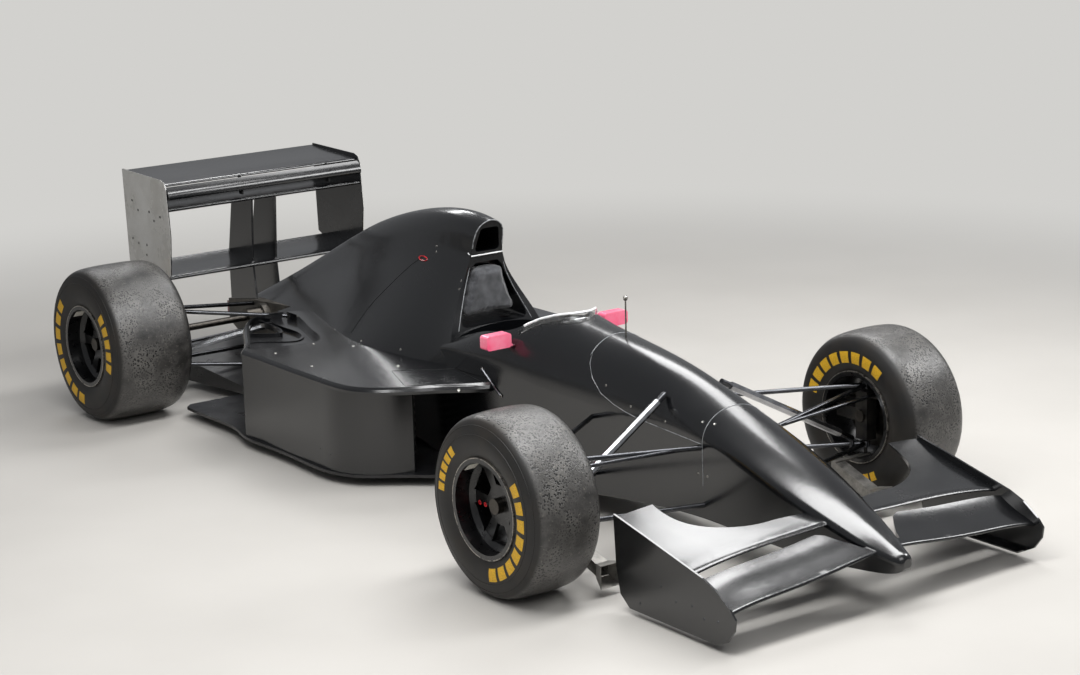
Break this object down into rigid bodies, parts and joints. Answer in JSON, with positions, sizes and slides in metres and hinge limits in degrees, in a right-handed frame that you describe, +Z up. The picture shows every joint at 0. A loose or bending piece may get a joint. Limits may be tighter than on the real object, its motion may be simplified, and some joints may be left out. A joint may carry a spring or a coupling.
{
  "type": "open wheel racing car",
  "caption": "Single seat open wheel racing car with slick tyres, front and rear wings, sidepods and steered front wheels.",
  "frame": {"origin": "on the ground at the centre line, half way between the nose tip and the rear wing's trailing edge", "axes": "+Z up, -Y toward the nose, +X toward the driver's left"},
  "size_m": [1.984, 4.428, 0.995],
  "materials": {
    "black_paint": "gloss",
    "black_rim": "gloss",
    "black_steel_rod": "satin",
    "carbon": "satin",
    "cast_metal": "matte",
    "clear_screen": "gloss",
    "dark_upright": "satin",
    "endplate_grey": "satin",
    "floor_carbon": "matte",
    "grip_suede": "matte",
    "mirror_paint": "gloss",
    "pad_suede": "matte",
    "pitot_metal": "satin",
    "radiator_metal": "satin",
    "red_lamp": "gloss",
    "slick_tyre": "matte",
    "steel_hub": "satin"
  },
  "bodies": {
    "chassis": {"diffuser": "floor_carbon", "engine_block": "cast_metal", "engine_cover": "black_paint", "floor": "floor_carbon", "front_endplates": "black_paint", "front_flaps": "black_paint", "front_hatch": "black_paint", "front_suspension_left": "black_steel_rod", "front_suspension_right": "black_steel_rod", "front_wing_main": "black_paint", "gearbox": "cast_metal", "headrest_pad": "pad_suede", "mirrors": "mirror_paint", "monocoque": "black_paint", "nose_cone": "black_paint", "pitot": "pitot_metal", "radiators": "radiator_metal", "rain_light": "red_lamp", "rear_beam_wing": "black_paint", "rear_endplates": "endplate_grey", "rear_suspension_left": "black_steel_rod", "rear_suspension_right": "black_steel_rod", "rear_uprights": "dark_upright", "rear_wing_flap": "black_paint", "rear_wing_main": "black_paint", "rear_wing_pylon": "black_paint", "seat": "carbon", "sidepod_left": "black_paint", "sidepod_right": "black_paint", "steering_wheel": "grip_suede", "windscreen": "clear_screen"},
    "knuckle_left": {"brake_duct_left": "floor_carbon", "front_upright_left": "dark_upright"},
    "knuckle_right": {"brake_duct_right": "floor_carbon", "front_upright_right": "dark_upright"},
    "front_wheel_left": {"front_hub_left": "steel_hub", "front_rim_left": "black_rim", "front_tyre_left": "slick_tyre"},
    "front_wheel_right": {"front_hub_right": "steel_hub", "front_rim_right": "black_rim", "front_tyre_right": "slick_tyre"},
    "rear_wheel_left": {"rear_hub_left": "steel_hub", "rear_rim_left": "black_rim", "rear_tyre_left": "slick_tyre"},
    "rear_wheel_right": {"rear_hub_right": "steel_hub", "rear_rim_right": "black_rim", "rear_tyre_right": "slick_tyre"}
  },
  "joints": [
    {"name": "steer_left", "type": "hinge", "parent": "chassis", "child": "knuckle_left", "pos_m": [0.768, -1.226, 0.318], "axis": [0, 0, 1], "range_deg": [-15, 15]},
    {"name": "spin_front_left", "type": "hinge", "parent": "knuckle_left", "child": "front_wheel_left", "pos_m": [0.845, -1.226, 0.318], "axis": [1, 0, 0], "continuous": true},
    {"name": "spin_rear_left", "type": "hinge", "parent": "chassis", "child": "rear_wheel_left", "pos_m": [0.806, 1.704, 0.331], "axis": [1, 0, 0], "continuous": true},
    {"name": "steer_right", "type": "hinge", "parent": "chassis", "child": "knuckle_right", "pos_m": [-0.768, -1.226, 0.318], "axis": [0, 0, 1], "range_deg": [-15, 15]},
    {"name": "spin_front_right", "type": "hinge", "parent": "knuckle_right", "child": "front_wheel_right", "pos_m": [-0.845, -1.226, 0.318], "axis": [1, 0, 0], "continuous": true},
    {"name": "spin_rear_right", "type": "hinge", "parent": "chassis", "child": "rear_wheel_right", "pos_m": [-0.806, 1.704, 0.331], "axis": [1, 0, 0], "continuous": true}
  ],
  "couplings": [
    {"joint": "steer_right", "follows": "steer_left", "ratio": 1}
  ]
}
